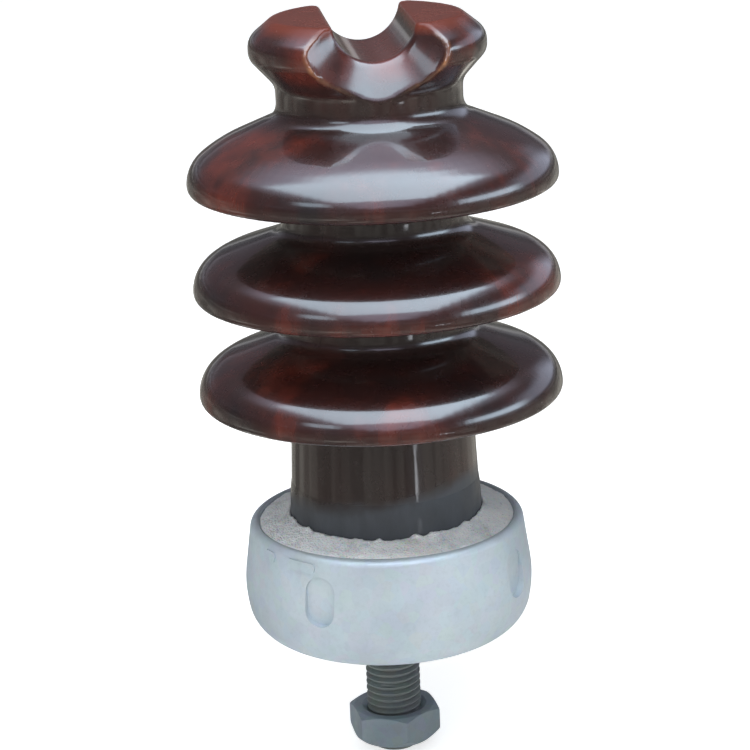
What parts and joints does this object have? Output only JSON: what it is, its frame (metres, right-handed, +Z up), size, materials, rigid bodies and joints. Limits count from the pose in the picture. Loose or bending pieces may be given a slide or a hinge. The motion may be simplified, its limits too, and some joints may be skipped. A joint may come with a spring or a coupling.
{
  "type": "tie-top line post insulator",
  "caption": "Glazed brown porcelain post insulator with sheds and a top conductor groove, cemented in a galvanised base cap with a threaded stud and nut.",
  "frame": {"origin": "centre of the cap's flat base face, where the insulator stands on a crossarm", "axes": "+Z up through the porcelain, stud along -Z, top conductor groove along Y, +X across the groove"},
  "size_m": [0.13, 0.13, 0.2724],
  "materials": {
    "brown_glazed_porcelain": "gloss",
    "galvanised_casting": "hot-dip galvanised, satin",
    "portland_cement": "matt, sandy",
    "porcelain_grit": "rough",
    "bitumen": "satin black brown coat",
    "bitumen_felt": "matt",
    "galvanised_stud_steel": "dull galvanised",
    "galvanised_nut_steel": "dull galvanised"
  },
  "bodies": {
    "insulator": {"porcelain_body": "brown_glazed_porcelain", "base_cap": "galvanised_casting", "cement_grout": "portland_cement", "grit_band": "porcelain_grit", "bitumen_coat": "bitumen", "cushion_disc": "bitumen_felt", "mounting_stud": "galvanised_stud_steel"},
    "nut": {"stud_nut": "galvanised_nut_steel"}
  },
  "joints": [
    {"name": "nut_travel", "type": "slide", "parent": "insulator", "child": "nut", "axis": [0, 0, 1], "range_m": [-0.0035, 0.033]}
  ]
}
